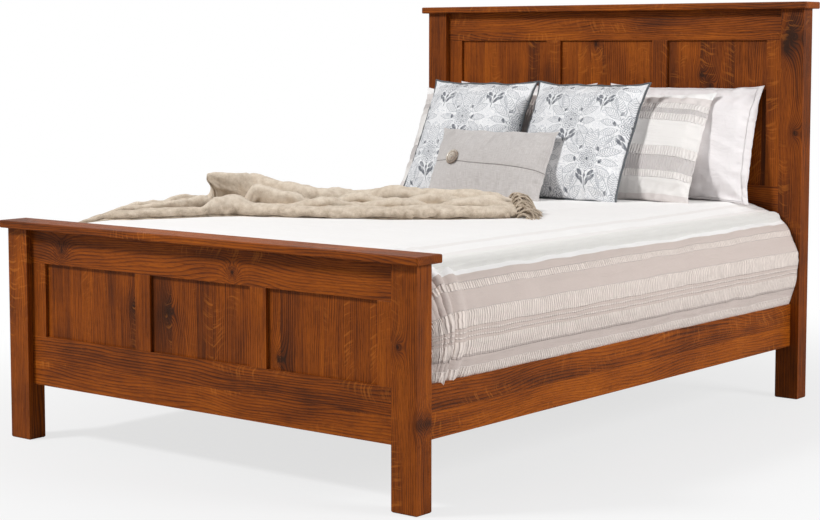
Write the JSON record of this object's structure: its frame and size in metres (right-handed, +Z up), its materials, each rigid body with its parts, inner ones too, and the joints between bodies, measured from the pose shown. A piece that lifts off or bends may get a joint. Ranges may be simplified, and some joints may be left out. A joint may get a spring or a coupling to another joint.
{
  "type": "panel bed",
  "caption": "Wooden panel bed with capped headboard and footboard, flat framed panels, side rails and slats, made up with mattress, striped comforter, pillows and a throw.",
  "frame": {"origin": "centre of the bed's outline on the floor it stands on", "axes": "+X to the bed's right seen from its foot, +Y along its length towards the headboard, +Z up"},
  "size_m": [1.694, 2.253, 1.397],
  "materials": {
    "oak": "satin",
    "support_wood": "matte",
    "tenon_beech": "matte",
    "plate_steel": "satin",
    "zinc_steel": "satin",
    "pad_plastic": "matte",
    "box_spring_cloth": "matte",
    "mattress_ticking": "matte",
    "comforter_cotton": "matte",
    "white_cotton": "matte",
    "sham_cotton": "matte",
    "print_cotton": "matte",
    "ribbed_cotton": "matte",
    "button_wood": "satin",
    "throw_chenille": "matte"
  },
  "bodies": {
    "bed": {"back_pillow_left": "white_cotton", "back_pillow_right": "white_cotton", "box_spring": "box_spring_cloth", "bracket_screws": "zinc_steel", "cap_tenons": "tenon_beech", "centre_leg_1": "support_wood", "centre_leg_2": "support_wood", "comforter": "comforter_cotton", "foot_post_left": "oak", "foot_post_right": "oak", "footboard_bottom_rail": "oak", "footboard_cap": "oak", "footboard_mullion_left": "oak", "footboard_mullion_right": "oak", "footboard_panel_centre": "oak", "footboard_panel_left": "oak", "footboard_panel_right": "oak", "footboard_stile_left": "oak", "footboard_stile_right": "oak", "footboard_top_rail": "oak", "frame_screws": "zinc_steel", "head_post_left": "oak", "head_post_right": "oak", "headboard_band": "oak", "headboard_bottom_rail": "oak", "headboard_cap": "oak", "headboard_mullion_left": "oak", "headboard_mullion_right": "oak", "headboard_panel_centre": "oak", "headboard_panel_left": "oak", "headboard_panel_right": "oak", "headboard_stile_left": "oak", "headboard_stile_right": "oak", "headboard_top_rail": "oak", "ledger_left": "support_wood", "ledger_right": "support_wood", "leg_inserts": "zinc_steel", "lumbar_pillow": "ribbed_cotton", "mattress": "mattress_ticking", "pillow_button": "button_wood", "post_slot_plates": "plate_steel", "rail_hook_plates": "plate_steel", "sham_left": "sham_cotton", "sham_right": "sham_cotton", "side_rail_left": "oak", "side_rail_right": "oak", "slat_1": "support_wood", "slat_2": "support_wood", "slat_3": "support_wood", "slat_4": "support_wood", "slat_5": "support_wood", "slat_6": "support_wood", "slat_7": "support_wood", "square_pillow_left": "print_cotton", "square_pillow_right": "print_cotton", "throw": "throw_chenille"},
    "leveler_pad_1": {"leveler_pad_1": "pad_plastic"},
    "leveler_stem_1": {"leveler_stem_1": "zinc_steel"},
    "leveler_pad_2": {"leveler_pad_2": "pad_plastic"},
    "leveler_stem_2": {"leveler_stem_2": "zinc_steel"}
  },
  "joints": [
    {"name": "leveler_rise_1", "type": "slide", "parent": "bed", "child": "leveler_pad_1", "axis": [0, 0, 1], "range_m": [-0.01, 0.012]},
    {"name": "leveler_turn_1", "type": "hinge", "parent": "leveler_pad_1", "child": "leveler_stem_1", "pos_m": [0, -0.3, 0.03], "axis": [0, 0, 1], "range_deg": [-2870, 3450]},
    {"name": "leveler_rise_2", "type": "slide", "parent": "bed", "child": "leveler_pad_2", "axis": [0, 0, 1], "range_m": [-0.01, 0.012]},
    {"name": "leveler_turn_2", "type": "hinge", "parent": "leveler_pad_2", "child": "leveler_stem_2", "pos_m": [0, 0.3, 0.03], "axis": [0, 0, 1], "range_deg": [-2870, 3450]}
  ],
  "couplings": [
    {"joint": "leveler_rise_1", "follows": "leveler_turn_1", "m_per_rad": 0.00019894},
    {"joint": "leveler_rise_2", "follows": "leveler_turn_2", "m_per_rad": 0.00019894}
  ]
}
